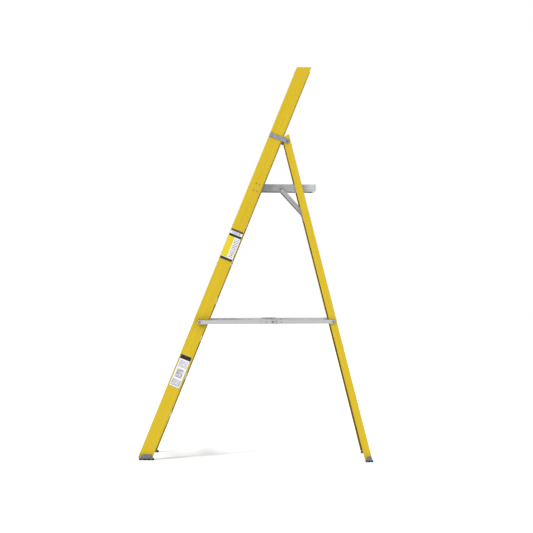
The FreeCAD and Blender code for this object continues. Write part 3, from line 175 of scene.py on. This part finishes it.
def extruded(name, grain, level, tint=(1.0, 1.0, 1.0), rough=0.36, fade_and_painted_shade=None):
    """Mill-finish aluminium: die lines along the grain, cloudy oxide and small handling scratches, with painted shade
    in corners and hollows.

    The last argument is two places along the ladder's depth, and how far painted shade darkens the piece towards the
    first.
    """
    g = Graph(name)
    place = g.along(grain)
    lines = g.noise(g.stretch(place, 1500, 2.5), detail=2, roughness=0.6)
    bands = g.noise(g.stretch(place, 150, 0.9), detail=2)
    oxide = g.noise(place, 16, 4, 0.6)
    # Painted shade: corners and hollows darkened towards a dark copy of the base grey.
    painted_hollow_shade = g.span(g.openness(CORNER_REACH), 0.35, 0.95, 0.7, 0)
    base = [value * share for value, share in zip(grey(level)[:3], tint)] + [1.0]
    colour = g.mix(g.span(bands, 0.35, 0.65, 0, 1), shaded(base, 0.92), shaded(base, 1.07))
    colour = g.mix(g.span(lines, 0.55, 0.75, 0, 0.35), colour, shaded(base, 0.72))
    colour = g.mix(g.span(oxide, 0.5, 0.75, 0, 0.3), colour, shaded(base, 0.84))
    scratches = g.noise(g.stretch(g.place(), 24, 700), detail=1)
    nicks = g.span(scratches, 0.73, 0.76, 0, 0.5)
    colour = g.mix(nicks, colour, shaded(base, 1.25))
    # Painted shade: the piece darkened towards the first place along the ladder's depth.
    if fade_and_painted_shade:
        near, far, most = fade_and_painted_shade
        depth = g.node("ShaderNodeSeparateXYZ", {0: g.place()}).outputs["Y"]
        colour = g.mix(g.span(depth, near, far, most, 0), colour, shaded(base, 0.3))
    colour = g.mix(painted_hollow_shade, colour, shaded(base, 0.3))
    roughness = g.math("ADD", g.span(oxide, 0.3, 0.75, rough - 0.06, rough + 0.12),
                       g.math("MULTIPLY", lines, 0.08))
    height = g.math("SUBTRACT", lines, g.math("MULTIPLY", nicks, 0.8))
    return g.shade(Base_Color=colour, Metallic=1.0, Roughness=roughness, Normal=g.bump(height, 0.03 * MM))


def step_aluminium(name, grain):
    return extruded(name, grain, 190)


def platform_aluminium(name, grain):
    """Platform sides and deck with painted shade, darker towards the front and brighter towards the rear end; the
    sloping struts are a duller bar.
    """
    if abs(grain.z) > STRUT_SLOPE:
        return extruded(name, grain, 178, rough=0.36)
    # Painted shade: the platform darker towards its front end.
    return extruded(name, grain, 214, tint=(0.99, 1.0, 1.01), rough=0.34, fade_and_painted_shade=(0.1, 0.45, 0.66))


def spreader_aluminium(name, grain):
    return extruded(name, grain, 191, tint=(0.99, 0.995, 1.01), rough=0.5)


def bracket_steel(name, grain):
    """Zinc-plated steel with a crystal spangle."""
    g = Graph(name)
    place = g.place()
    warp = g.noise(place, 90, 2)
    moved = g.node("ShaderNodeVectorMath", {0: place, 1: warp}, operation="ADD").outputs[0]
    crystals = g.cells(place, 210)
    fine = g.noise(moved, 1400, 2, 0.7)
    stains = g.noise(place, 35, 3)
    zinc = tone(168, 172, 184)
    colour = g.mix(g.span(crystals, 0.1, 0.9, 0, 1), shaded(zinc, 0.86), shaded(zinc, 1.1))
    colour = g.mix(g.span(stains, 0.5, 0.72, 0, 0.4), colour, shaded(zinc, 0.7))
    roughness = g.math("ADD", g.span(crystals, 0, 1, 0.3, 0.44), g.math("MULTIPLY", fine, 0.1))
    return g.shade(Base_Color=colour, Metallic=1.0, Roughness=roughness, Normal=g.bump(fine, 0.02 * MM))


def cast_grey(name, grain):
    """Grey-blue coated foot shoe: fine orange peel and rubbed paler in places."""
    g = Graph(name)
    place = g.place()
    peel = g.noise(place, 1100, 2, 0.6)
    clouds = g.noise(place, 45, 3)
    coat = tone(102, 111, 119)
    colour = g.mix(g.span(clouds, 0.3, 0.7, 0, 1), shaded(coat, 0.88), shaded(coat, 1.12))
    rubbed = g.math("MULTIPLY", g.span(g.noise(place, 240, 4, 0.7), 0.56, 0.66, 0, 1),
                    g.span(clouds, 0.45, 0.6, 0, 0.6))
    colour = g.mix(rubbed, colour, tone(158, 164, 170))
    return g.shade(Base_Color=colour, Metallic=0.55, Roughness=g.span(peel, 0.3, 0.7, 0.4, 0.58),
                   Normal=g.bump(peel, 0.05 * MM))


def tread_rubber(name, grain):
    """Near-black moulded rubber with a dusty bloom and floor grit."""
    g = Graph(name)
    place = g.place()
    skin = g.noise(place, 1600, 3, 0.65)
    bloom = g.noise(place, 60, 3)
    grit = g.span(g.noise(place, 700, 2), 0.66, 0.7, 0, 0.5)
    colour = g.mix(g.span(bloom, 0.35, 0.75, 0, 0.6), grey(24), grey(44))
    colour = g.mix(grit, colour, tone(96, 93, 86))
    return g.shade(Base_Color=colour, Roughness=g.span(bloom, 0.3, 0.7, 0.7, 0.88),
                   Normal=g.bump(skin, 0.08 * MM), Specular_IOR_Level=0.3)


def fastener_steel(name, grain):
    """Bright rivets and bolts: turned faces, with tool marks and a little dulling."""
    g = Graph(name)
    place = g.place()
    marks = g.noise(g.stretch(place, 1900, 700), detail=2, roughness=0.6)
    dull = g.noise(place, 130, 3)
    metal = grey(150)
    colour = g.mix(g.span(dull, 0.35, 0.7, 0, 1), shaded(metal, 1.06), shaded(metal, 0.78))
    colour = g.mix(g.span(marks, 0.6, 0.75, 0, 0.35), colour, shaded(metal, 0.62))
    return g.shade(Base_Color=colour, Metallic=1.0, Roughness=g.span(dull, 0.3, 0.7, 0.2, 0.4),
                   Normal=g.bump(marks, 0.03 * MM))


# ---------------------------------------------------------------- printed labels
class Print(Graph):
    """A label's print. Places on it run from 0 to 1 across and up its visible face."""

    def __init__(self, name, film):
        super().__init__(name)
        self.colour = None
        face = max((p for p in film.data.polygons if p.normal.x > 0.5), key=lambda p: p.area)
        outward = face.normal.copy()
        points = [v.co for v in film.data.vertices]
        furthest = max(p.dot(outward) for p in points)
        corners = [p for p in points if p.dot(outward) > furthest - 0.1 * MM]
        up = grain_of(film)
        right = up.cross(outward).normalized()
        right = right if right.y > 0 else -right
        place = self.place()
        self.size = []
        spans = []
        for axis in (right, up):
            reach = [p.dot(axis) for p in corners]
            width = max(reach) - min(reach)
            along = self.node("ShaderNodeVectorMath", {0: place, 1: axis / width}, operation="DOT_PRODUCT")
            spans.append(self.math("SUBTRACT", along.outputs["Value"], min(reach) / width))
            self.size.append(width)
        self.across, self.up = spans
        self.flat = self.node("ShaderNodeCombineXYZ", {0: self.math("MULTIPLY", self.across, self.size[0]),
                                                       1: self.math("MULTIPLY", self.up, self.size[1]),
                                                       2: 0.0}).outputs[0]

    def between(self, value, low, high, soft=0.004):
        """1 where the value is between two numbers, 0 elsewhere."""
        rise = self.span(value, low - soft, low + soft, 0, 1)
        fall = self.span(value, high - soft, high + soft, 1, 0)
        return self.math("MULTIPLY", rise, fall)

    def box(self, left, right, low, high):
        return self.math("MULTIPLY", self.between(self.across, left, right, 0.006),
                         self.between(self.up, low, high, 0.002))

    def oval(self, middle, low, half_width, half_height):
        """1 inside an oval about a middle, given in shares of the label's sides."""
        squares = []
        for value, centre, half in ((self.across, middle, half_width), (self.up, low, half_height)):
            off = self.math("DIVIDE", self.math("SUBTRACT", value, centre), half)
            squares.append(self.math("MULTIPLY", off, off))
        return self.span(self.math("ADD", *squares), 0.92, 1.08, 1, 0)

    def rows(self, mask, count, low, high, share=0.5):
        """Filler print: rows of broken dashes inside a mask, which spell nothing."""
        pitch = (high - low) / count
        phase = self.math("FRACT", self.math("DIVIDE", self.math("SUBTRACT", self.up, low), pitch))
        row = self.math("FLOOR", self.math("DIVIDE", self.math("SUBTRACT", self.up, low), pitch))
        seed = self.node("ShaderNodeCombineXYZ", {0: self.math("MULTIPLY", self.across, 26.0),
                                                  1: self.math("MULTIPLY", row, 7.31), 2: 0.0}).outputs[0]
        broken = self.span(self.noise(seed, 1.0, 1.0), 0.42, 0.46, 0, 1)
        dash = self.between(phase, 0.5 - share / 2, 0.5 + share / 2, 0.06)
        return self.math("MULTIPLY", mask, self.math("MULTIPLY", dash, broken))

    def paint(self, mask, colour):
        self.colour = colour if self.colour is None else self.mix(mask, self.colour, colour)

    def film(self):
        """The print under a satin film that is a little scuffed and faded."""
        fade_and_painted_shade = self.noise(self.flat, 55, 3)
        colour = self.mix(self.span(fade_and_painted_shade, 0.35, 0.7, 0.0, 0.05), self.colour, tone(186, 178, 152))
        fine = self.noise(self.flat, 1500, 2)
        scuffs = self.span(self.noise(self.stretch(self.place(), 60, 900), detail=1), 0.7, 0.74, 0, 1)
        colour = self.mix(self.math("MULTIPLY", scuffs, 0.15), colour, grey(200))
        return self.shade(Base_Color=colour, Roughness=self.span(fade_and_painted_shade, 0.3, 0.7, 0.3, 0.46),
                          Normal=self.bump(fine, 0.02 * MM), Specular_IOR_Level=0.35)


LEMON = tone(206, 186, 22)
INK = grey(9)
PAPER = tone(214, 214, 218)


def upper_print(name, film):
    """Generic tag: dark and pale bands, a lemon block beside rows of plain bars, and a grey foot."""
    p = Print(name, film)
    p.paint(None, PAPER)
    p.paint(p.box(-1, 2, 0.935, 2), grey(60))
    p.paint(p.rows(p.box(0.14, 0.86, 0.85, 0.925), 2, 0.85, 0.925, 0.5), grey(60))
    p.paint(p.box(-1, 2, 0.765, 0.84), INK)
    p.paint(p.box(-1, 0.5, 0.1, 0.765), LEMON)
    p.paint(p.rows(p.box(0.58, 0.94, 0.12, 0.74), 12, 0.12, 0.74, 0.45), grey(96))
    p.paint(p.box(-1, 2, -1, 0.085), grey(44))
    return p.film()


def lower_print(name, film):
    """Generic tag: a dark band over rows of plain bars round one hatched block, in a thin border."""
    p = Print(name, film)
    p.paint(None, PAPER)
    p.paint(p.box(-1, 2, 0.87, 2), INK)
    p.paint(p.rows(p.box(0.12, 0.88, 0.62, 0.83), 6, 0.62, 0.83, 0.45), grey(112))
    p.paint(p.rows(p.box(0.2, 0.8, 0.3, 0.56), 7, 0.3, 0.56, 0.6), grey(40))
    p.paint(p.rows(p.box(0.1, 0.9, 0.04, 0.24), 6, 0.04, 0.24, 0.5), grey(80))
    p.paint(p.math("SUBTRACT", 1.0, p.box(0.03, 0.97, 0.01, 0.99)), grey(110))
    return p.film()


PRINTS = {"label_upper": upper_print, "label_lower": lower_print}
MAKERS = {maker.__name__: maker for maker in (
    fibreglass, step_aluminium, platform_aluminium, spreader_aluminium, bracket_steel, cast_grey,
    tread_rubber, fastener_steel)}
GRAINED = ("fibreglass", "step_aluminium", "platform_aluminium", "spreader_aluminium")

finishes = {}
for name, node in nodes.items():
    slot = node.material_slots[0].material.name.split(".")[0]
    if name in PRINTS:
        node.material_slots[0].material = PRINTS[name](name + "_print", node)
        continue
    grain = grain_of(node) if slot in GRAINED else UP
    key = (slot,) + tuple(round(value, 2) for value in grain)
    if key not in finishes:
        finishes[key] = MAKERS[slot]("%s_%d" % (slot, len(finishes) + 1), grain)
    node.material_slots[0].material = finishes[key]


# ---------------------------------------------------------------- softened edges
def smooth_shading():
    """Modifier group that shades every face smooth, ahead of the weighted normals."""
    group = bpy.data.node_groups.new("smooth_shading", "GeometryNodeTree")
    for way in ("INPUT", "OUTPUT"):
        group.interface.new_socket("Geometry", in_out=way, socket_type="NodeSocketGeometry")
    start = group.nodes.new("NodeGroupInput")
    shade = group.nodes.new("GeometryNodeSetShadeSmooth")
    end = group.nodes.new("NodeGroupOutput")
    group.links.new(start.outputs[0], shade.inputs[0])
    group.links.new(shade.outputs[0], end.inputs[0])
    return group


SMOOTH = smooth_shading()


def soften(node, width):
    """Small rounded edges on a CAD node, with flat faces that stay flat."""
    weld = node.modifiers.new("weld", "WELD")
    weld.merge_threshold = 0.01 * MM
    bevel = node.modifiers.new("bevel", "BEVEL")
    bevel.width = width
    bevel.segments = 2
    bevel.limit_method = "ANGLE"
    bevel.angle_limit = math.radians(40)
    bevel.use_clamp_overlap = False
    bevel.loop_slide = False
    node.modifiers.new("smooth", "NODES").node_group = SMOOTH
    normals = node.modifiers.new("normals", "WEIGHTED_NORMAL")
    normals.weight = 50
    normals.keep_sharp = False


EDGES = {
    "front_rail": 0.8, "rear_rail": 0.7, "platform_side": 0.5, "strut": 0.5, "front_boot": 0.6, "rear_boot": 0.6,
    "front_tread": 0.7, "rear_tread": 0.7, "spreader_front_arm": 0.6, "spreader_rear_arm": 0.6,
    "lock_plate": 0.4, "pivot_plate": 0.7,
}
for name, width in EDGES.items():
    for side in ("right", "left"):
        soften(nodes[name + "_" + side], width * MM)


# ---------------------------------------------------------------- floor, light and camera
def floor():
    """Plain pale studio floor under the feet."""
    reach = 40.0
    mesh = bpy.data.meshes.new("floor")
    mesh.from_pydata([(-reach, -reach, 0), (reach, -reach, 0), (reach, reach, 0), (-reach, reach, 0)], [],
                     [(0, 1, 2, 3)])
    made = bpy.data.objects.new("floor", mesh)
    bpy.context.scene.collection.objects.link(made)
    g = Graph("floor_paint")
    place = g.place()
    colour = g.mix(g.span(g.noise(place, 2.5, 3), 0.3, 0.7, 0, 1), grey(246), grey(249))
    mesh.materials.append(g.shade(Base_Color=colour, Roughness=g.span(g.noise(place, 40, 2), 0.3, 0.7, 0.8, 0.9),
                                  Specular_IOR_Level=0.1))


SKY = (-0.2, 0.9, 0.34, 0.7)     # height of the view's direction, low and high, and the glow at each
BACKDROP = 1.0                   # how bright the camera sees the surroundings
SUNS = (("key", (1.0, -0.8, 0.75), 1.7, 12),     # name, towards, energy, spread in degrees
        ("top", (0.3, -0.2, 1.0), 1.3, 40),
        ("back", (-1.0, 0.5, 0.7), 0.9, 40))


def studio():
    """White surroundings that are brighter overhead, a key sun, a wide one above and one from behind."""
    world = bpy.data.worlds.new("studio")
    world.use_nodes = True
    bpy.context.scene.world = world
    tree = world.node_tree
    tree.nodes.clear()
    place = tree.nodes.new("ShaderNodeTexCoord")
    split = tree.nodes.new("ShaderNodeSeparateXYZ")
    height = tree.nodes.new("ShaderNodeMapRange")
    for index, value in enumerate(SKY, 1):
        height.inputs[index].default_value = value
    sight = tree.nodes.new("ShaderNodeLightPath")
    strength = tree.nodes.new("ShaderNodeMix")
    glow = tree.nodes.new("ShaderNodeBackground")
    end = tree.nodes.new("ShaderNodeOutputWorld")
    strength.inputs[3].default_value = BACKDROP
    glow.inputs["Color"].default_value = (1, 1, 1, 1)
    for one, two in ((place.outputs["Generated"], split.inputs[0]), (split.outputs[2], height.inputs[0]),
                     (height.outputs[0], strength.inputs[2]), (sight.outputs["Is Camera Ray"], strength.inputs[0]),
                     (strength.outputs[0], glow.inputs["Strength"]), (glow.outputs[0], end.inputs["Surface"])):
        tree.links.new(one, two)
    for name, towards, energy, spread in SUNS:
        lamp = bpy.data.lights.new(name, "SUN")
        lamp.energy = energy
        lamp.angle = math.radians(spread)
        light = bpy.data.objects.new(name, lamp)
        light.rotation_mode = "QUATERNION"
        light.rotation_quaternion = Vector(towards).to_track_quat("Z", "Y")
        bpy.context.scene.collection.objects.link(light)
    bpy.context.scene.view_settings.view_transform = "Standard"


EYE = Vector((16.0, 0.0757, 1.501))
FOCAL_MM = 137.0
SENSOR_MM = 36.0
ROLL = math.radians(0.4)


def camera():
    """Long lens, level but for a slight roll, square on to the right side of the open ladder."""
    lens = bpy.data.cameras.new("camera")
    lens.sensor_width = SENSOR_MM
    lens.lens = FOCAL_MM
    lens.clip_end = 200.0
    made = bpy.data.objects.new("camera", lens)
    level = Vector((1, 0, 0)).to_track_quat("Z", "Y").to_matrix().to_4x4()
    made.matrix_world = Matrix.Translation(EYE) @ level @ Matrix.Rotation(ROLL, 4, "Z")
    bpy.context.scene.collection.objects.link(made)
    bpy.context.scene.camera = made


floor()
studio()
camera()
